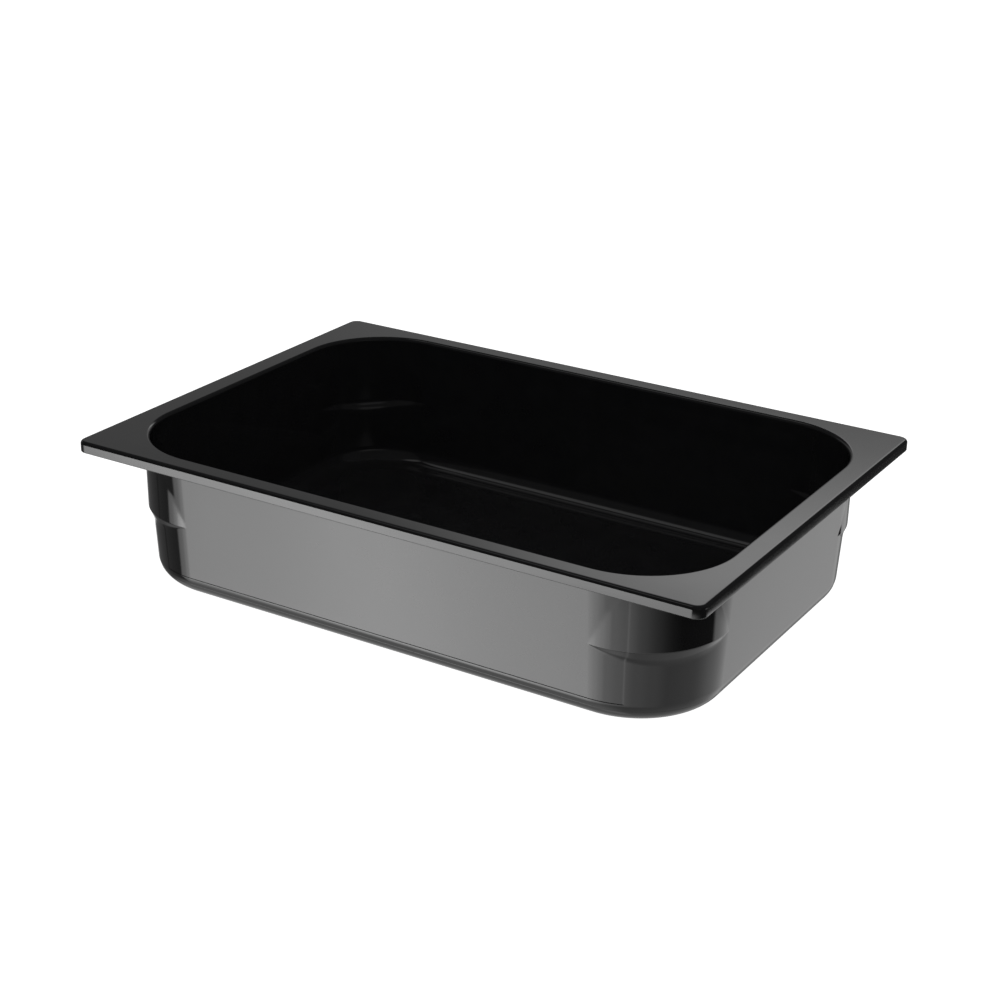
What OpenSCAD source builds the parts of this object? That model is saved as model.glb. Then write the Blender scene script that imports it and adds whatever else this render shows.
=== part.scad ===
// Deli food pan. One glossy black plastic moulding: a flat rim with a turned-down lip, four walls
// that lean out, round upright corners that swell into stacking shoulders under the rim, and a
// floor joined to the walls by a large round. The moulding is built as its named regions, which
// meet face to face without overlapping. The origin is at the middle of the base, +X along the
// length and +Z up.

/* [Overall] */
// Length over the rim
pan_length = 350; // [330:1:420]
// Width over the rim
pan_width = 242; // [225:1:300]
// Height from the base to the top of the rim
pan_height = 77; // [65:1:110]

/* [Walls] */
// Thickness of the walls and the floor
wall_t = 2.6; // [2:0.1:3.2]
// Angle by which the walls lean out, in degrees
wall_draft = 3.3; // [1.5:0.1:4]
// Outside radius of the upright corners, measured at the height of the rim
corner_r = 49.4; // [42:0.2:56]
// From the outer edge of the rim to the end walls, measured at the height of the rim
end_overhang = 10.8; // [9:0.1:14]
// From the outer edge of the rim to the side walls, measured at the height of the rim
side_overhang = 8.8; // [8:0.1:14]

/* [Base] */
// Outside radius of the round between the walls and the floor
base_r = 11.7; // [7:0.1:14]

/* [Rim] */
// Thickness of the flat rim
flange_t = 2.6; // [2.2:0.1:3.2]
// Radius from the top of the rim down into the pan
mouth_r = 2; // [1:0.1:2]
// Thickness of the turned-down lip
lip_t = 2.4; // [1.8:0.1:3]
// Height of the lip, from the top of the rim to its lower edge
lip_h = 5.9; // [5:0.1:9]
// Radius along the outer top edge of the rim
rim_edge_r = 1.6; // [0.5:0.1:1.7]
// Radius of the rim's four corners, seen from above
rim_corner_r = 5.5; // [3.2:0.1:12]

/* [Stacking shoulders] */
// From the top of the rim down to the lower edge of a shoulder, where its ledge starts
shoulder_drop = 37.7; // [32:0.1:44]
// How far a shoulder's lower edge stands out past the wall at the middle of the corner
shoulder_swell = 2.2; // [1:0.1:3]
// Angle by which a shoulder leans out, in degrees
shoulder_draft = 0.6; // [0.2:0.1:1]
// Angle by which the ledge under a shoulder leans out, in degrees
ledge_angle = 22.8; // [20:0.1:40]

/* [Hidden] */

PLASTIC = "#1c1c1e";
ROUND_FN = 96;

// The upright corners and the sides share four vertical axes, at plus and minus these distances
axis_x = pan_length / 2 - end_overhang - corner_r;
axis_y = pan_width / 2 - side_overhang - corner_r;

// Heights
wall_top_z = pan_height - flange_t;
shoulder_z = pan_height - shoulder_drop;
ledge_z = shoulder_z - shoulder_swell / (tan(ledge_angle) - tan(wall_draft));
// Where the round of the base leaves the wall, and the centre of that round
base_centre_z = base_r;
base_centre_u = wall_u(base_centre_z) - base_r / cos(wall_draft);
wall_foot_z = base_centre_z - base_r * sin(wall_draft);

// Thickness of a wall measured level
slant_t = wall_t / cos(wall_draft);
// Where the flat top of the rim ends and the round of the mouth starts
mouth_u = wall_u(wall_top_z) - slant_t + mouth_r;

// Steps of a shoulder's surface: round the corner, up the ledge, and from there to the rim
ANGLE_STEP = 3;
LEDGE_STEPS = 4;
RISE_STEPS = 5;
// Quarter turn of a corner
QUARTER = 90;

// Distance of the wall's outside from the corner axes at height z
function wall_u(z) = corner_r - (pan_height - z) * tan(wall_draft);
// The same for a shoulder: level with the walls at both ends of its lower edge, fullest at the
// middle of the corner, nearly upright above that edge and cut back to a ledge below it
function shoulder_u(a, z) =
    wall_u(shoulder_z) + shoulder_swell * sin(2 * a)
    + (z - shoulder_z) * tan(z > shoulder_z ? shoulder_draft : ledge_angle);
// A corner shows whichever stands out further
function corner_u(a, z) = max(wall_u(z), shoulder_u(a, z));
// Its inside follows at the wall's thickness, and never undercuts the mouth
function corner_inside_u(a, z) =
    min(corner_u(a, z) - slant_t, mouth_u - mouth_r - (wall_top_z - z) * tan(shoulder_draft));

// Cross-sections: x is the distance out from the corner axes and y is the height

module wall_section(low_z, high_z) {
    polygon([
        [wall_u(low_z), low_z],
        [wall_u(high_z), high_z],
        [wall_u(high_z) - slant_t, high_z],
        [wall_u(low_z) - slant_t, low_z]
    ]);
}

module base_edge_section() {
    intersection() {
        translate([base_centre_u, base_centre_z])
            difference() {
                circle(r = base_r, $fn = ROUND_FN);
                circle(r = base_r - wall_t, $fn = ROUND_FN);
            }
        // The round runs from straight down to square on to the wall
        translate([base_centre_u, base_centre_z])
            polygon([
                [0, 0],
                [0, -2 * base_r],
                [2 * base_r, -2 * base_r],
                [2 * base_r, -2 * base_r * tan(wall_draft)]
            ]);
    }
}

module wall_foot_section(high_z) {
    // The wall's lower end is cut square to the wall, where the round begins
    difference() {
        wall_section(0, high_z);
        translate([base_centre_u, base_centre_z])
            polygon([
                [0, 0],
                [2 * base_r, -2 * base_r * tan(wall_draft)],
                [2 * base_r, -2 * base_r],
                [0, -2 * base_r]
            ]);
    }
}

// From the inside of the wall to the start of the flat top
module mouth_section() {
    low_u = mouth_u - mouth_r;
    translate([mouth_u, pan_height - mouth_r])
        intersection() {
            circle(r = mouth_r, $fn = ROUND_FN);
            translate([-mouth_r, 0])
                square(mouth_r);
        }
    translate([low_u, wall_top_z])
        square([mouth_r, flange_t - mouth_r]);
}

module flange_section(outer_u) {
    mouth_section();
    translate([mouth_u, wall_top_z])
        square([outer_u - mouth_u, flange_t]);
}

// x is the distance out from the axes of the rim's corners
module lip_section() {
    inner = rim_corner_r - lip_t;
    translate([inner, pan_height - lip_h])
        square([lip_t, lip_h - rim_edge_r]);
    translate([inner, pan_height - rim_edge_r])
        square([lip_t - rim_edge_r, rim_edge_r]);
    translate([rim_corner_r - rim_edge_r, pan_height - rim_edge_r])
        intersection() {
            circle(r = rim_edge_r, $fn = ROUND_FN);
            square(rim_edge_r);
        }
}

// Placing: the back and the right are drawn, and the front and the left mirror them

module to_side(side) {
    if (side == "front")
        mirror([0, 1, 0])
            children();
    else if (side == "left")
        mirror([1, 0, 0])
            children();
    else
        children();
}

module to_corner(end, side) {
    mirror([end == "left" ? 1 : 0, 0, 0])
        mirror([0, side == "front" ? 1 : 0, 0])
            children();
}

// Runs a cross-section straight along one side, between two axes
module along_side(side, x = axis_x, y = axis_y) {
    to_side(side)
        if (side == "front" || side == "back")
            translate([0, y, 0])
                rotate([90, 0, 90])
                    linear_extrude(height = 2 * x, center = true)
                        children();
        else
            translate([x, 0, 0])
                rotate([90, 0, 0])
                    linear_extrude(height = 2 * y, center = true)
                        children();
}

// Turns a cross-section round one corner
module round_corner(end, side, x = axis_x, y = axis_y) {
    to_corner(end, side)
        translate([x, y, 0])
            rotate_extrude(angle = QUARTER, $fn = ROUND_FN)
                children();
}

// The regions of the moulding

module pan_floor() {
    color(PLASTIC) {
        translate([-axis_x - base_centre_u, -axis_y, 0])
            cube([2 * (axis_x + base_centre_u), 2 * axis_y, wall_t]);
        translate([-axis_x, -axis_y - base_centre_u, 0])
            cube([2 * axis_x, 2 * (axis_y + base_centre_u), wall_t]);
        for (x = [-axis_x, axis_x], y = [-axis_y, axis_y])
            translate([x, y, 0])
                cylinder(r = base_centre_u, h = wall_t, $fn = ROUND_FN);
    }
}

module base_edge(side) {
    color(PLASTIC)
        along_side(side)
            base_edge_section();
}

module side_wall(side) {
    color(PLASTIC)
        along_side(side)
            wall_foot_section(wall_top_z);
}

module lower_corner(end, side) {
    color(PLASTIC)
        round_corner(end, side) {
            wall_foot_section(ledge_z);
            base_edge_section();
        }
}

// A curved slab whose outside follows corner_u, from the rim down to the foot of the ledge
module shoulder(end, side) {
    angles = [for (a = [0 : ANGLE_STEP : QUARTER]) a];
    heights = [
        for (i = [0 : LEDGE_STEPS - 1]) ledge_z + (shoulder_z - ledge_z) * i / LEDGE_STEPS,
        for (i = [0 : RISE_STEPS]) shoulder_z + (wall_top_z - shoulder_z) * i / RISE_STEPS
    ];
    columns = len(angles);
    rows = len(heights);
    layer = columns * rows;
    points = [
        for (inside = [false, true])
            for (z = heights)
                for (a = angles)
                    let (u = inside ? corner_inside_u(a, z) : corner_u(a, z))
                        [u * cos(a), u * sin(a), z]
    ];
    function at(skin, row, column) = skin * layer + row * columns + column;
    function quad(a, b, c, d) = [[a, b, c], [a, c, d]];
    quads = [
        // outside and inside
        for (r = [0 : rows - 2])
            for (c = [0 : columns - 2])
                each concat(
                    quad(at(0, r, c), at(0, r + 1, c), at(0, r + 1, c + 1), at(0, r, c + 1)),
                    quad(at(1, r, c), at(1, r, c + 1), at(1, r + 1, c + 1), at(1, r + 1, c))
                ),
        // foot and top
        for (c = [0 : columns - 2])
            each concat(
                quad(at(0, 0, c), at(0, 0, c + 1), at(1, 0, c + 1), at(1, 0, c)),
                quad(
                    at(0, rows - 1, c), at(1, rows - 1, c),
                    at(1, rows - 1, c + 1), at(0, rows - 1, c + 1)
                )
            ),
        // the two upright ends
        for (r = [0 : rows - 2])
            each concat(
                quad(at(0, r, 0), at(1, r, 0), at(1, r + 1, 0), at(0, r + 1, 0)),
                quad(
                    at(0, r, columns - 1), at(0, r + 1, columns - 1),
                    at(1, r + 1, columns - 1), at(1, r, columns - 1)
                )
            )
    ];
    color(PLASTIC)
        to_corner(end, side)
            translate([axis_x, axis_y, 0])
                polyhedron(points = points, faces = quads);
}

module side_flange(side) {
    overhang = side == "front" || side == "back" ? side_overhang : end_overhang;
    color(PLASTIC)
        along_side(side)
            flange_section(corner_r + overhang - lip_t);
}

// The plate that fills a corner of the rim, between the mouth and the lip
module corner_flange(end, side) {
    reach_x = corner_r + end_overhang - lip_t;
    reach_y = corner_r + side_overhang - lip_t;
    inner_r = rim_corner_r - lip_t;
    color(PLASTIC) {
        round_corner(end, side)
            mouth_section();
        to_corner(end, side)
            translate([axis_x, axis_y, wall_top_z])
                linear_extrude(height = flange_t)
                    difference() {
                        union() {
                            square([reach_x - inner_r, reach_y]);
                            square([reach_x, reach_y - inner_r]);
                            translate([reach_x - inner_r, reach_y - inner_r])
                                circle(r = inner_r, $fn = ROUND_FN);
                        }
                        circle(r = mouth_u, $fn = ROUND_FN);
                    }
    }
}

// The long lips carry the rim's rounded corners
module side_lip(side) {
    x = pan_length / 2 - rim_corner_r;
    y = pan_width / 2 - rim_corner_r;
    color(PLASTIC) {
        along_side(side, x, y)
            lip_section();
        if (side == "front" || side == "back")
            for (end = ["left", "right"])
                round_corner(end, side, x, y)
                    lip_section();
    }
}

pan_floor();  // floor
base_edge("front");  // base_edge_front
base_edge("back");  // base_edge_back
base_edge("left");  // base_edge_left
base_edge("right");  // base_edge_right
side_wall("front");  // wall_front
side_wall("back");  // wall_back
side_wall("left");  // wall_left
side_wall("right");  // wall_right
lower_corner("left", "front");  // corner_front_left
lower_corner("right", "front");  // corner_front_right
lower_corner("left", "back");  // corner_back_left
lower_corner("right", "back");  // corner_back_right
shoulder("left", "front");  // shoulder_front_left
shoulder("right", "front");  // shoulder_front_right
shoulder("left", "back");  // shoulder_back_left
shoulder("right", "back");  // shoulder_back_right
side_flange("front");  // flange_front
side_flange("back");  // flange_back
side_flange("left");  // flange_left
side_flange("right");  // flange_right
corner_flange("left", "front");  // flange_corner_front_left
corner_flange("right", "front");  // flange_corner_front_right
corner_flange("left", "back");  // flange_corner_back_left
corner_flange("right", "back");  // flange_corner_back_right
side_lip("front");  // lip_front
side_lip("back");  // lip_back
side_lip("left");  // lip_left
side_lip("right");  // lip_right
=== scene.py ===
"""Looks of a black plastic deli food pan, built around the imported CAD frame.

The pan is one moulding. Each visual piece stands for one CAD region, and all of them are cut from
the same surface, so that their borders meet point for point and share their normals.
Lengths are in metres and angles in degrees unless a name says otherwise.
"""
import math
from collections import defaultdict

import bmesh
import bpy
from mathutils import Matrix, Vector


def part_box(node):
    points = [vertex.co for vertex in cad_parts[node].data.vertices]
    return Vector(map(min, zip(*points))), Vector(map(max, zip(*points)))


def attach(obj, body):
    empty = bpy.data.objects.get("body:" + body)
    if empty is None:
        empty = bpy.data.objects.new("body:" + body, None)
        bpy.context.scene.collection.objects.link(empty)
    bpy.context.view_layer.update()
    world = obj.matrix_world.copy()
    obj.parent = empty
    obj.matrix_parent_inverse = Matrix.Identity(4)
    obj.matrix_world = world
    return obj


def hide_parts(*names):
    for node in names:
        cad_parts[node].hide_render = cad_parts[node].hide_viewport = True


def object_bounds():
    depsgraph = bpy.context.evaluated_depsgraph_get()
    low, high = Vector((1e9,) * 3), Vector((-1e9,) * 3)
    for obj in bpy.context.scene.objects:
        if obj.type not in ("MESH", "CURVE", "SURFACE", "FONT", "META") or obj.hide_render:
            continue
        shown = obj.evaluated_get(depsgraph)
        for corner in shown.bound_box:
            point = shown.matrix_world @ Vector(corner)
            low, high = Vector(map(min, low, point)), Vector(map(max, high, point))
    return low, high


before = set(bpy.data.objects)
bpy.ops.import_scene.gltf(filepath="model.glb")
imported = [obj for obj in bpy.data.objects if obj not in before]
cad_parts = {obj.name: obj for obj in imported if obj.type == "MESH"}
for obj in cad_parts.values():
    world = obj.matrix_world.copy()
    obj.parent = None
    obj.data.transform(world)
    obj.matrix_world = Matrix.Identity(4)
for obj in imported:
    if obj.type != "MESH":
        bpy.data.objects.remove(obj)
CAD_LOW, CAD_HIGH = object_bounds()
MM = 0.001
TINY = 1e-9

# Sizes read from the frame
RIM_Z = CAD_HIGH.z
HALF_LENGTH = CAD_HIGH.x
HALF_WIDTH = CAD_HIGH.y
AXIS_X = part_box("wall_front")[1].x
AXIS_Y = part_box("wall_right")[1].y
WALL_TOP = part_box("wall_front")[1].z
WALL_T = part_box("floor")[1].z
BASE_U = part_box("floor")[1].x - AXIS_X
LIP_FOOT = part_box("lip_right")[0].z
LIP_IN_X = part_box("lip_right")[0].x
LIP_T = HALF_LENGTH - LIP_IN_X
RIM_CORNER_R = HALF_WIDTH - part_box("lip_right")[1].y
LEDGE_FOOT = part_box("shoulder_front_left")[0].z

# Sizes of the moulding's curves, as in the CAD
WALL_DRAFT = math.radians(3.3)
SHOULDER_DRAFT = math.radians(0.6)
CORNER_R = 49.4 * MM
SHOULDER_Z = RIM_Z - 37.7 * MM
SHOULDER_SWELL = 2.2 * MM
LEDGE_ANGLE = math.radians(22.8)
BASE_R = 11.7 * MM
MOUTH_R = 2.0 * MM
RIM_EDGE_R = 1.6 * MM
# The wall's thickness measured level, and the height where the base's round meets the wall
SLANT_T = WALL_T / math.cos(WALL_DRAFT)
WALL_FOOT = BASE_R * (1 - math.sin(WALL_DRAFT))

# Fine details that only the looks have: softened creases, seams, steps and lines
BORDER_SOFT = 0.1 * MM
LEDGE_FOOT_SOFT = 0.9 * MM
BORDER_FADE = math.radians(6)
EDGE_SOFT = 0.12 * MM
INSIDE_SOFT = 0.9 * MM
INSIDE_SOFT_SHARE = 0.04
SEAM_LOW = math.radians(21.1)
SEAM_HIGH = math.radians(22.7)
SEAM_WIDTH = math.radians(1)
PANEL_STEP = 0.15 * MM
FOOT_STEP_H = 0.4 * MM
BASE_LINE = math.radians(68)
BASE_LINE_WIDTH = math.radians(0.8)
BASE_LINE_DEPTH = 0.06 * MM
LIP_LOW_R = 0.5 * MM

# Steps of the mesh
CORNER_STEPS = 180
BASE_STEPS = 18
BASE_LINE_STEPS = 8
FOOT_STEPS = 4
WALL_STEPS = 4
BLEND_STEPS = 6
BLEND_H = 3 * MM
LEDGE_STEPS = 18
EDGE_ROWS = 8
EDGE_ROWS_H = 0.8 * MM
RISE_STEPS = 24
MOUTH_STEPS = 8
EDGE_STEPS = 8
SMALL_EDGE_STEPS = 4
LIP_CORNER_STEPS = 24

# Points nearer than this share a normal, where the faces turn by less than the limit
SAME_PLACE = 0.002 * MM
SMOOTH_LIMIT = math.cos(math.radians(40))

ENDS = {"left": -1, "right": 1}
SIDES = {"front": -1, "back": 1}


def steps(start, end, count):
    """count + 1 evenly spaced values from start to end."""
    return [start + (end - start) * i / count for i in range(count + 1)]


def smooth(start, end, value):
    """Rises softly from 0 at start to 1 at end."""
    t = min(max((value - start) / (end - start), 0), 1)
    return t * t * (3 - 2 * t)


# The surface of the moulding. u is the distance out from the corner axes, a the angle round a
# corner and z the height.

def wall_u(z):
    return CORNER_R - (RIM_Z - z) * math.tan(WALL_DRAFT)


def soft_max(p, q, softness):
    """The larger of two lengths, blended where they differ by less than softness."""
    h = max(softness - abs(p - q), 0) / max(softness, TINY)
    return max(p, q) + h * h * softness / 4


def soft_min(p, q, softness):
    return -soft_max(-p, -q, softness)


def shoulder_u(a, z):
    """Nearly upright above the lower edge of the shoulder, cut back to a ledge below it."""
    edge = wall_u(SHOULDER_Z) + SHOULDER_SWELL * math.sin(2 * a)
    above = edge + (z - SHOULDER_Z) * math.tan(SHOULDER_DRAFT)
    below = edge + (z - SHOULDER_Z) * math.tan(LEDGE_ANGLE)
    return soft_min(above, below, EDGE_SOFT)


def corner_u(a, z):
    """The wall or the shoulder, whichever stands out further."""
    beside = min(a, math.pi / 2 - a)
    below = smooth(SHOULDER_Z, LEDGE_FOOT, z)
    softness = BORDER_SOFT + (LEDGE_FOOT_SOFT - BORDER_SOFT) * below
    return soft_max(wall_u(z), shoulder_u(a, z), softness * smooth(0, BORDER_FADE, beside))


def panel_recess(a, z):
    """The flat panels of the long walls lie a little behind the corners and the base."""
    seam = SEAM_LOW + (SEAM_HIGH - SEAM_LOW) * smooth(LEDGE_FOOT, SHOULDER_Z, z)
    beside = 1 - smooth(seam, seam + SEAM_WIDTH, math.pi / 2 - a)
    above = smooth(WALL_FOOT, WALL_FOOT + FOOT_STEP_H, z)
    return PANEL_STEP * beside * above


def outer_u(a, z):
    return corner_u(a, z) - panel_recess(a, z)


def inner_u(a, z):
    """The inside never undercuts the mouth."""
    below_top = WALL_TOP - z
    limit = wall_u(WALL_TOP) - below_top * math.tan(SHOULDER_DRAFT)
    softness = min(INSIDE_SOFT, INSIDE_SOFT_SHARE * below_top)
    return soft_min(corner_u(a, z), limit, softness) - SLANT_T


MOUTH_U = wall_u(WALL_TOP) - SLANT_T + MOUTH_R


# Cross-sections, as closed loops of (u, z) points. The second value of each is the set of edges
# that face another piece.

def base_arc(radius, line_depth=0):
    """From straight down to square on to the wall, with a faint line along it if it has a depth."""
    turn = math.pi / 2 - WALL_DRAFT
    line_low, line_high = BASE_LINE - BASE_LINE_WIDTH, BASE_LINE + BASE_LINE_WIDTH
    turns = steps(0, line_low, BASE_STEPS)
    turns += steps(line_low, line_high, BASE_LINE_STEPS)[1:]
    turns += steps(line_high, turn, BASE_STEPS // 2)[1:]
    points = []
    for b in turns:
        r = radius - line_depth * smooth(line_low, line_high, b) * (1 - smooth(line_high, turn, b))
        points.append((BASE_U + r * math.sin(b), BASE_R - r * math.cos(b)))
    return points


def base_outside():
    return base_arc(BASE_R, BASE_LINE_DEPTH)


def wall_heights(foot):
    """Rows of the mesh up to the shoulder's foot, close together at both ends."""
    low = steps(foot, foot + FOOT_STEP_H, FOOT_STEPS)
    low += steps(foot + FOOT_STEP_H, LEDGE_FOOT - BLEND_H, WALL_STEPS)[1:]
    return low + steps(LEDGE_FOOT - BLEND_H, LEDGE_FOOT, BLEND_STEPS)[1:]


def shoulder_heights():
    """Rows from the shoulder's foot to the rim, close together round the shoulder's lower edge."""
    low, high = SHOULDER_Z - EDGE_ROWS_H, SHOULDER_Z + EDGE_ROWS_H
    heights = steps(LEDGE_FOOT, low, LEDGE_STEPS) + steps(low, high, EDGE_ROWS)[1:]
    return heights + steps(high, WALL_TOP, RISE_STEPS)[1:]


def ring(outside, inside):
    """A loop up the outside and down the inside, closed by two cut edges."""
    loop = outside + inside[::-1]
    return loop, {len(outside) - 1, len(loop) - 1}


def base_loop():
    return ring(base_outside(), base_arc(BASE_R - WALL_T))


def lower_wall(a):
    inner_foot = base_arc(BASE_R - WALL_T)[-1][1]
    outside = [(outer_u(a, z), z) for z in wall_heights(WALL_FOOT)]
    inside = [(inner_u(a, z), z) for z in wall_heights(inner_foot)]
    return outside, inside


def upper_wall(a):
    heights = shoulder_heights()
    return [(outer_u(a, z), z) for z in heights], [(inner_u(a, z), z) for z in heights]


def corner_loop(a):
    low_out, low_in = lower_wall(a)
    return ring(base_outside() + low_out[1:], base_arc(BASE_R - WALL_T) + low_in[1:])


def shoulder_loop(a):
    return ring(*upper_wall(a))


def wall_loop(a):
    low_out, low_in = lower_wall(a)
    high_out, high_in = upper_wall(a)
    return ring(low_out + high_out[1:], low_in + high_in[1:])


def mouth_arc():
    """From the inside of the wall to the flat top of the rim."""
    centre_z = RIM_Z - MOUTH_R
    turned = [
        (MOUTH_U - MOUTH_R * math.cos(b), centre_z + MOUTH_R * math.sin(b))
        for b in steps(0, math.pi / 2, MOUTH_STEPS)
    ]
    return [(MOUTH_U - MOUTH_R, WALL_TOP)] + turned


def flange_loop(reach):
    loop = mouth_arc() + [(reach, RIM_Z), (reach, WALL_TOP)]
    return loop, {len(loop) - 2}


def arc(centre, radius, start, end, count):
    """Points of a round in a cross-section, from one angle to another."""
    return [
        (centre[0] + radius * math.cos(b), centre[1] + radius * math.sin(b))
        for b in steps(math.radians(start), math.radians(end), count)
    ]


def lip_loop():
    """u is the distance out from the axes of the rim's corners."""
    inner = RIM_CORNER_R - LIP_T
    top = arc((RIM_CORNER_R - RIM_EDGE_R, RIM_Z - RIM_EDGE_R), RIM_EDGE_R, 90, 0, EDGE_STEPS)
    low_z = LIP_FOOT + LIP_LOW_R
    low_out = arc((RIM_CORNER_R - LIP_LOW_R, low_z), LIP_LOW_R, 0, -90, SMALL_EDGE_STEPS)
    low_in = arc((inner + LIP_LOW_R, low_z), LIP_LOW_R, -90, -180, SMALL_EDGE_STEPS)
    loop = top + low_out + low_in + [(inner, WALL_TOP), (inner, RIM_Z)]
    return loop, {len(loop) - 2}


# Stations: places along a sweep, each with the point that u is measured from and u's direction

def side_stations(name, half_x, half_y, stops):
    """Along one side. stops are shares of the side's half length."""
    if name in SIDES:
        s = SIDES[name]
        return [((half_x * t, s * half_y), (0, s)) for t in stops]
    s = ENDS[name]
    return [((s * half_x, half_y * t), (s, 0)) for t in stops]


def corner_stations(end, side, x, y, count):
    """Round a corner whose axis is at x, y, from the end wall to the long wall."""
    sx, sy = ENDS[end], SIDES[side]
    return [
        ((sx * x, sy * y), (sx * math.cos(a), sy * math.sin(a)))
        for a in steps(0, math.pi / 2, count)
    ]


def put(station, point):
    """Where a point of a cross-section lies at a station."""
    (x, y), (dx, dy) = station
    return (x + point[0] * dx, y + point[0] * dy, point[1])


def sweep(stations, loops):
    """A closed solid through one loop per station. Returns points, faces, and which faces show."""
    points = [put(s, p) for s, (loop, _) in zip(stations, loops) for p in loop]
    size = len(loops[0][0])
    faces, shows = [], []
    for i in range(len(stations) - 1):
        for k in range(size):
            a, b = i * size + k, i * size + (k + 1) % size
            faces.append((a, b, b + size, a + size))
            shows.append(k not in loops[0][1])
    last = (len(stations) - 1) * size
    faces.append(tuple(range(size)))
    faces.append(tuple(range(last, last + size)))
    shows += [False, False]
    return points, faces, shows


# Pieces

made = []


def add_piece(node, points, faces, shows):
    """Makes one visual piece that stands for one CAD node."""
    mesh = bpy.data.meshes.new(node + "_moulding")
    mesh.from_pydata(points, [], faces)
    bm = bmesh.new()
    bm.from_mesh(mesh)
    bmesh.ops.recalc_face_normals(bm, faces=bm.faces)
    bm.to_mesh(mesh)
    bm.free()
    piece = bpy.data.objects.new(node + "_moulding", mesh)
    bpy.context.scene.collection.objects.link(piece)
    mesh.materials.append(PLASTIC)
    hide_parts(node)
    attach(piece, "root")
    made.append((piece, shows))


def add_side(kind, name, loop):
    stations = side_stations(name, AXIS_X, AXIS_Y, (-1, 1))
    add_piece(f"{kind}_{name}", *sweep(stations, [loop, loop]))


def add_corner(kind, end, side, loop_at):
    stations = corner_stations(end, side, AXIS_X, AXIS_Y, CORNER_STEPS)
    loops = [loop_at(a) for a in steps(0, math.pi / 2, CORNER_STEPS)]
    add_piece(f"{kind}_{side}_{end}", *sweep(stations, loops))


def add_floor():
    """A flat plate: a middle rectangle, four side strips and a fan in each corner."""
    outline = []
    for end, side in (("right", "back"), ("left", "back"), ("left", "front"), ("right", "front")):
        stations = corner_stations(end, side, AXIS_X, AXIS_Y, CORNER_STEPS)
        if ENDS[end] * SIDES[side] < 0:
            stations.reverse()
        outline.append(stations)
    points, faces, shows = [], [], []
    for z in (0, WALL_T):
        first = len(points)
        for stations in outline:
            points.append(put(stations[0], (0, z)))
            points += [put(s, (BASE_U, z)) for s in stations]
        block = CORNER_STEPS + 2
        middles = [first + block * i for i in range(4)]
        faces.append(tuple(middles))
        for i, middle in enumerate(middles):
            after = middles[(i + 1) % 4]
            faces += [(middle, middle + 1 + k, middle + 2 + k) for k in range(CORNER_STEPS)]
            faces.append((middle, middle + block - 1, after + 1, after))
    shows += [True] * len(faces)
    layer = len(points) // 2
    rim = [i for i in range(layer) if i % (CORNER_STEPS + 2)]
    for i, j in zip(rim, rim[1:] + rim[:1]):
        faces.append((i, j, j + layer, i + layer))
        shows.append(False)
    add_piece("floor", points, faces, shows)


def add_flange_corner(end, side):
    """The mouth's round and the flat plate from there out to the lip."""
    stations = corner_stations(end, side, AXIS_X, AXIS_Y, CORNER_STEPS)
    sx, sy = ENDS[end], SIDES[side]
    x, y = HALF_LENGTH - RIM_CORNER_R, HALF_WIDTH - RIM_CORNER_R
    inner = RIM_CORNER_R - LIP_T
    outline = [(sx * (x + inner), sy * AXIS_Y)]
    for s in corner_stations(end, side, x, y, LIP_CORNER_STEPS):
        outline.append(put(s, (inner, 0))[:2])
    outline.append((sx * AXIS_X, sy * (y + inner)))
    mouth = mouth_arc()
    points = [put(s, p) for s in stations for p in mouth]
    size = len(mouth)
    faces, shows = [], []
    for i in range(CORNER_STEPS):
        for k in range(size - 1):
            a = i * size + k
            faces.append((a, a + 1, a + 1 + size, a + size))
            shows.append(True)
    first = len(points)
    count = len(outline)
    points += [(px, py, RIM_Z) for px, py in outline]
    points += [(px, py, WALL_TOP) for px, py in outline]
    top = [first + i for i in range(count)]
    under = [first + count + i for i in range(count)]
    faces.append(tuple([i * size + size - 1 for i in range(CORNER_STEPS, -1, -1)] + top))
    faces.append(tuple([i * size for i in range(CORNER_STEPS + 1)] + under[::-1]))
    shows += [True, True]
    for i in range(count - 1):
        faces.append((top[i], under[i], under[i + 1], top[i + 1]))
        shows.append(False)
    last = CORNER_STEPS * size
    faces.append(tuple(list(range(size)) + [top[0], under[0]]))
    faces.append(tuple(list(range(last + size - 1, last - 1, -1)) + [under[-1], top[-1]]))
    shows += [False, False]
    add_piece(f"flange_corner_{side}_{end}", points, faces, shows)


def add_lip(name):
    """The long lips carry the rim's rounded corners."""
    x, y = HALF_LENGTH - RIM_CORNER_R, HALF_WIDTH - RIM_CORNER_R
    if name in ENDS:
        share = AXIS_Y / y
        stations = side_stations(name, x, y, (-1, -share, share, 1))
    else:
        share = AXIS_X / x
        left = corner_stations("left", name, x, y, LIP_CORNER_STEPS)
        right = corner_stations("right", name, x, y, LIP_CORNER_STEPS)
        middle = side_stations(name, x, y, (-share, share))
        stations = left + middle + right[::-1]
    add_piece(f"lip_{name}", *sweep(stations, [lip_loop()] * len(stations)))


# One set of normals for the whole moulding

def place_key(point):
    return tuple(round(c / SAME_PLACE) for c in point)


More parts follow.
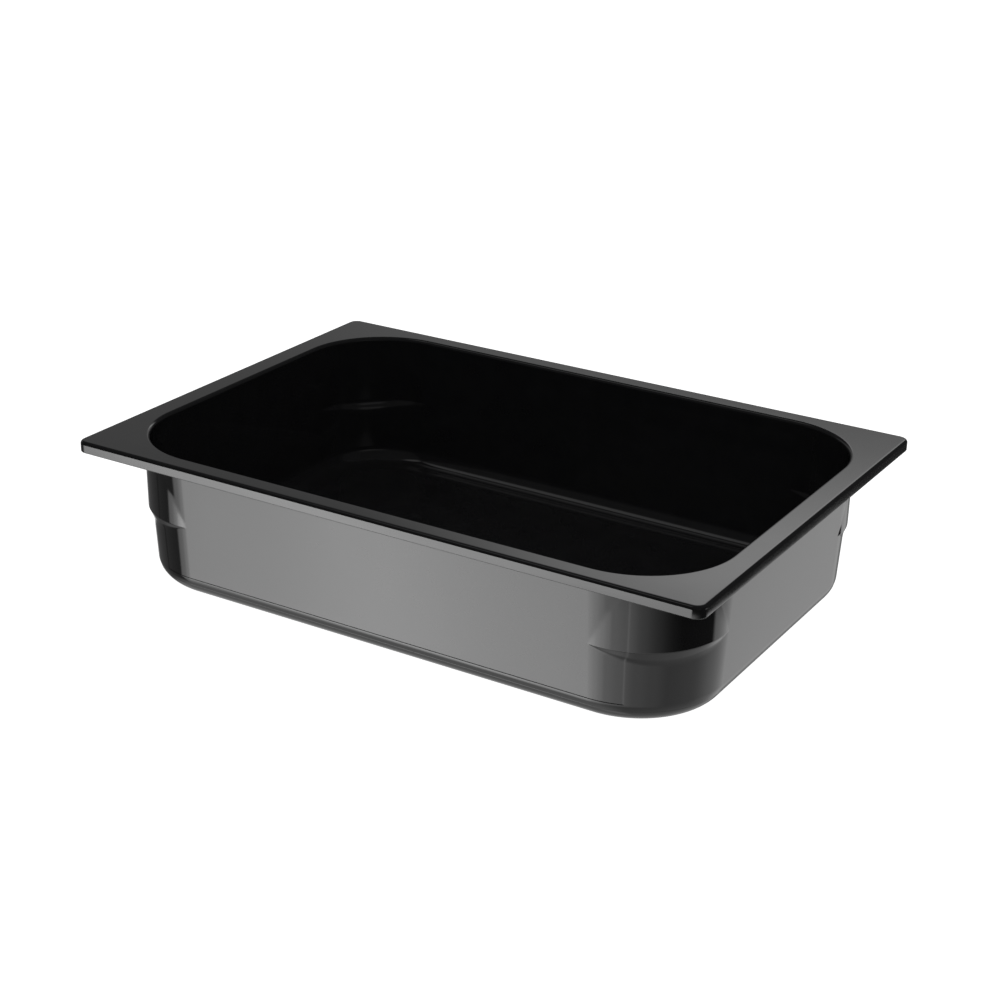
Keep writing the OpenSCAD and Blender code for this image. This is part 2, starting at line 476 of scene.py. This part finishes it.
def share_normals():
    """Gives every showing face corner the mean normal of the faces that meet there, over all pieces."""
    meeting = defaultdict(list)
    for piece, shows in made:
        mesh = piece.data
        keys = [place_key(v.co) for v in mesh.vertices]
        for face in mesh.polygons:
            if shows[face.index]:
                normal, area = face.normal.copy(), face.area
                for v in face.vertices:
                    meeting[keys[v]].append((normal, area))
    for piece, shows in made:
        mesh = piece.data
        keys = [place_key(v.co) for v in mesh.vertices]
        normals = []
        for face in mesh.polygons:
            face.use_smooth = True
            own = face.normal.copy()
            for v in face.vertices:
                mean = own
                if shows[face.index]:
                    mean = Vector()
                    for normal, area in meeting[keys[v]]:
                        if normal.dot(own) > SMOOTH_LIMIT:
                            mean += normal * area
                normals.append(mean.normalized())
        mesh.normals_split_custom_set(normals)


# Material. Scales are per metre

GLOSS = (0.045, 0.075)
GLOSS_CLOUD = (38, 3)
TINT_DARK = (0.0145, 0.0145, 0.0155, 1)
TINT_LIGHT = (0.0175, 0.0175, 0.0185, 1)
TINT_CLOUD = (90, 2)
GRAIN = (2600, 2)
GRAIN_STRENGTH = 0.05
GRAIN_DEPTH = 0.02 * MM
NOISE_RANGE = (0.3, 0.7)
PLASTIC_IOR = 1.5


def make_plastic():
    """Glossy black moulded plastic with a very fine grain and slightly uneven gloss."""
    mat = bpy.data.materials.new("black_moulded_plastic")
    mat.use_nodes = True
    nodes, links = mat.node_tree.nodes, mat.node_tree.links
    shader = nodes["Principled BSDF"]
    shader.inputs["IOR"].default_value = PLASTIC_IOR
    place = nodes.new("ShaderNodeTexCoord").outputs["Object"]

    def noise(scale, detail):
        node = nodes.new("ShaderNodeTexNoise")
        node.inputs["Scale"].default_value = scale
        node.inputs["Detail"].default_value = detail
        links.new(place, node.inputs["Vector"])
        return node.outputs["Fac"]

    def spread(source, low, high):
        node = nodes.new("ShaderNodeMapRange")
        node.inputs["From Min"].default_value = NOISE_RANGE[0]
        node.inputs["From Max"].default_value = NOISE_RANGE[1]
        node.inputs["To Min"].default_value = low
        node.inputs["To Max"].default_value = high
        links.new(source, node.inputs["Value"])
        return node.outputs["Result"]

    links.new(spread(noise(*GLOSS_CLOUD), *GLOSS), shader.inputs["Roughness"])
    tint = nodes.new("ShaderNodeMix")
    tint.data_type = "RGBA"
    links.new(spread(noise(*TINT_CLOUD), 0, 1), tint.inputs["Factor"])
    tint.inputs["A"].default_value = TINT_DARK
    tint.inputs["B"].default_value = TINT_LIGHT
    links.new(tint.outputs["Result"], shader.inputs["Base Color"])
    grain = nodes.new("ShaderNodeBump")
    grain.inputs["Strength"].default_value = GRAIN_STRENGTH
    grain.inputs["Distance"].default_value = GRAIN_DEPTH
    links.new(noise(*GRAIN), grain.inputs["Height"])
    links.new(grain.outputs["Normal"], shader.inputs["Normal"])
    return mat


PLASTIC = make_plastic()

add_floor()
for side in SIDES:
    for end in ENDS:
        add_corner("corner", end, side, corner_loop)
        add_corner("shoulder", end, side, shoulder_loop)
        add_flange_corner(end, side)
for name in [*SIDES, *ENDS]:
    add_side("base_edge", name, base_loop())
    add_side("wall", name, wall_loop(0 if name in ENDS else math.pi / 2))
    reach = LIP_IN_X - AXIS_X if name in ENDS else HALF_WIDTH - LIP_T - AXIS_Y
    add_side("flange", name, flange_loop(reach))
    add_lip(name)
share_normals()


# Surroundings: a pale floor, and light that depends only on its direction

FLOOR_HALF = 12
FLOOR_CELLS = 8
FLOOR_GAP = 0.2 * MM
FLOOR_COLOUR = (0.5, 0.5, 0.5, 1)
FLOOR_GLOW = 1.05
BACKDROP_LIGHT = 1.1

# Bearings run clockwise seen from above: 0 is right, 90 front, 180 left and -90 back.
# The light is not a plain studio: its strengths and heights were worked back from how bright
# the real pan's gloss looks from the camera's side, so other sides get little light.
# The ring's stops are bearings with strengths, and RING_MAX is a strength above all of them.
RING_MAX = 8
RING_STOPS = [
    (-150, 0.13), (-139, 0.95), (-122, 1.2), (-108, 0.25), (-92, 0.3), (-84, 1.0), (-76, 1.25),
    (-70, 1.45), (-40, 1.2), (-10, 0.8), (20, 0.76), (40, 1.06), (60, 1.34), (80, 2.05),
    (97, 2.55), (103, 3.4), (110, 4.2), (117, 5.0), (122, 6.0), (127, 6.9), (131, 5.5),
    (137, 3.2), (143, 1.95), (148, 1.55), (150, 0.13)
]
# Height at which the ring ends: lower on the right than at the back, highest for the key, which
# runs from the front to the left
BACK_TOP = -21.5
BACK_SLOPE = (-72, -65.7)
BACK_DROP = 4.7
KEY_START = (100, 104)
KEY_RISE = 7
TOP_SOFT = 0.4
# Bearings between which the ring reaches less high
GAP_LEFT = (-44, -37)
GAP_RIGHT = (5, 80)
GAP_TOP = (-31, -29)
# The light from below the ring, as from a pale floor, stronger at the front
FLOOR_FADE = (-50, -36)
FLOOR_LIGHT = 0.78
FLOOR_FRONT = ((95, 150), (-120, -40), (25, 5), 0.6)
# Bearings, heights, softness of both, and strength. The fifth and sixth only light the rim and
# the back wall for a view from the back left.
PANELS = [
    ((116, 133), (-26, -19), (2, 1), 0.8),
    ((-119, -95), (22.6, 27.5), (7, 3.2), 1.75),
    ((-180, -95), (12, 24.5), (8, 3), 0.28),
    ((-124, -95), (12, 26), (6, 3), 0.22),
    ((20, 60), (10, 20), (8, 4), 0.2),
    ((-47, -20), (-20.5, -12), (6, 2), 2.2),
    ((140, 175), (55, 72), (8, 4), 0.7),
]
# The light from every direction, and the light that matt surfaces get instead of all this
ROOM_LIGHT = 0.07
SKY_LIGHT = 0.5
SKY_FADE = (0, 40)


def make_floor():
    """A glowing floor that neither reflections nor matt surfaces see: the studio lights them."""
    bm = bmesh.new()
    bmesh.ops.create_grid(bm, x_segments=FLOOR_CELLS, y_segments=FLOOR_CELLS, size=FLOOR_HALF)
    mesh = bpy.data.meshes.new("studio_floor")
    bm.to_mesh(mesh)
    bm.free()
    floor = bpy.data.objects.new("studio_floor", mesh)
    floor.location.z = -FLOOR_GAP
    bpy.context.scene.collection.objects.link(floor)
    mat = bpy.data.materials.new("pale_floor")
    mat.use_nodes = True
    shader = mat.node_tree.nodes["Principled BSDF"]
    shader.inputs["Base Color"].default_value = FLOOR_COLOUR
    shader.inputs["Roughness"].default_value = 1
    shader.inputs["Specular IOR Level"].default_value = 0
    shader.inputs["Emission Color"].default_value = (1, 1, 1, 1)
    shader.inputs["Emission Strength"].default_value = FLOOR_GLOW
    mesh.materials.append(mat)
    floor.visible_glossy = False
    floor.visible_diffuse = False


def make_studio():
    """A ring of light below eye level, strongest at the front left, and soft panels above it."""
    world = bpy.data.worlds.new("studio")
    bpy.context.scene.world = world
    world.use_nodes = True
    nodes, links = world.node_tree.nodes, world.node_tree.links
    nodes.clear()

    def math_node(kind, a, b=0.0):
        node = nodes.new("ShaderNodeMath")
        node.operation = kind
        for socket, value in zip(node.inputs, (a, b)):
            if isinstance(value, (int, float)):
                socket.default_value = value
            else:
                links.new(value, socket)
        return node.outputs[0]

    def ramp_up(value, low, high, kind="SMOOTHSTEP"):
        node = nodes.new("ShaderNodeMapRange")
        node.interpolation_type = kind
        node.inputs["From Min"].default_value = low
        node.inputs["From Max"].default_value = high
        links.new(value, node.inputs["Value"])
        return node.outputs["Result"]

    def band(value, low, high, soft):
        rise = ramp_up(value, low - soft, low + soft)
        fall = ramp_up(value, high - soft, high + soft)
        return math_node("MULTIPLY", rise, math_node("SUBTRACT", 1, fall))

    def panel(bearings, heights, soft, strength):
        across = band(bearing, *bearings, soft[0])
        up = band(height, *heights, soft[1])
        return math_node("MULTIPLY", math_node("MULTIPLY", across, up), strength)

    parts = nodes.new("ShaderNodeSeparateXYZ")
    links.new(nodes.new("ShaderNodeTexCoord").outputs["Generated"], parts.inputs[0])
    turn = math_node("ARCTAN2", math_node("MULTIPLY", parts.outputs["Y"], -1), parts.outputs["X"])
    bearing = math_node("MULTIPLY", turn, 180 / math.pi)
    rise = math_node("ARCSINE", parts.outputs["Z"])
    height = math_node("MULTIPLY", rise, 180 / math.pi)

    ring = nodes.new("ShaderNodeValToRGB")
    links.new(math_node("ADD", math_node("DIVIDE", bearing, 360), 0.5), ring.inputs["Fac"])
    ramp = ring.color_ramp
    ramp.interpolation = "EASE"
    ramp.elements[0].position = RING_STOPS[0][0] / 360 + 0.5
    ramp.elements[1].position = RING_STOPS[-1][0] / 360 + 0.5
    for at, _ in RING_STOPS[1:-1]:
        ramp.elements.new(at / 360 + 0.5)
    for element, (_, value) in zip(ramp.elements, RING_STOPS):
        shade = value / RING_MAX
        element.color = (shade, shade, shade, 1)
    light = math_node("MULTIPLY", ring.outputs["Color"], RING_MAX)
    gap_side = math_node("SUBTRACT", ramp_up(bearing, *GAP_LEFT), ramp_up(bearing, *GAP_RIGHT))
    gap = math_node("MULTIPLY", gap_side, ramp_up(height, *GAP_TOP))
    light = math_node("MULTIPLY", light, math_node("SUBTRACT", 1, gap))
    near_floor = ramp_up(height, *FLOOR_FADE)
    light = math_node("MULTIPLY", light, near_floor)
    floor_light = math_node("ADD", panel(*FLOOR_FRONT), FLOOR_LIGHT)
    floor_light = math_node("MULTIPLY", floor_light, math_node("SUBTRACT", 1, near_floor))
    light = math_node("ADD", light, floor_light)
    back_rise = math_node("MULTIPLY", ramp_up(bearing, *BACK_SLOPE, "LINEAR"), BACK_DROP)
    key_rise = math_node("MULTIPLY", ramp_up(bearing, *KEY_START), KEY_RISE)
    top = math_node("ADD", math_node("SUBTRACT", BACK_TOP, back_rise), key_rise)
    over_top = ramp_up(math_node("SUBTRACT", height, top), -TOP_SOFT, TOP_SOFT)
    light = math_node("MULTIPLY", light, math_node("SUBTRACT", 1, over_top))
    for spec in PANELS:
        light = math_node("ADD", light, panel(*spec))
    light = math_node("ADD", light, ROOM_LIGHT)

    # Matt surfaces only get a soft light from above
    rays = nodes.new("ShaderNodeLightPath")
    sky = math_node("MULTIPLY", ramp_up(height, *SKY_FADE), SKY_LIGHT)
    matt = rays.outputs["Is Diffuse Ray"]
    light = math_node("MULTIPLY", light, math_node("SUBTRACT", 1, matt))
    light = math_node("ADD", light, math_node("MULTIPLY", sky, matt))

    studio = nodes.new("ShaderNodeBackground")
    links.new(light, studio.inputs["Strength"])
    white = nodes.new("ShaderNodeBackground")
    white.inputs["Strength"].default_value = BACKDROP_LIGHT
    mix = nodes.new("ShaderNodeMixShader")
    links.new(rays.outputs["Is Camera Ray"], mix.inputs["Fac"])
    links.new(studio.outputs[0], mix.inputs[1])
    links.new(white.outputs[0], mix.inputs[2])
    out = nodes.new("ShaderNodeOutputWorld")
    links.new(mix.outputs[0], out.inputs["Surface"])


make_floor()
make_studio()

# Camera. Its place is measured from the middle of the rim's top

CAMERA_FROM_RIM = Vector((494.78, -818.54, 369.95)) * MM
CAMERA_BEARING = math.radians(31.0651)
CAMERA_RISE = math.radians(22.8794)
CAMERA_ROLL = math.radians(1.1045)
CAMERA_LENS = 72.535
CAMERA_SENSOR = 36
CAMERA_CLIP = (0.05, 50)


def make_camera():
    back = Vector((
        math.sin(CAMERA_BEARING) * math.cos(CAMERA_RISE),
        -math.cos(CAMERA_BEARING) * math.cos(CAMERA_RISE),
        math.sin(CAMERA_RISE),
    ))
    right = Vector((math.cos(CAMERA_BEARING), math.sin(CAMERA_BEARING), 0))
    turn = Matrix.Rotation(CAMERA_ROLL, 3, back)
    right = turn @ right
    up = back.cross(right)
    data = bpy.data.cameras.new("camera")
    data.sensor_width = CAMERA_SENSOR
    data.lens = CAMERA_LENS
    camera = bpy.data.objects.new("camera", data)
    bpy.context.scene.collection.objects.link(camera)
    camera.matrix_world = Matrix((right, up, back)).transposed().to_4x4()
    camera.location = CAMERA_FROM_RIM + Vector((0, 0, RIM_Z))
    data.clip_start, data.clip_end = CAMERA_CLIP
    bpy.context.scene.camera = camera


make_camera()
bpy.context.scene.view_settings.view_transform = "Standard"
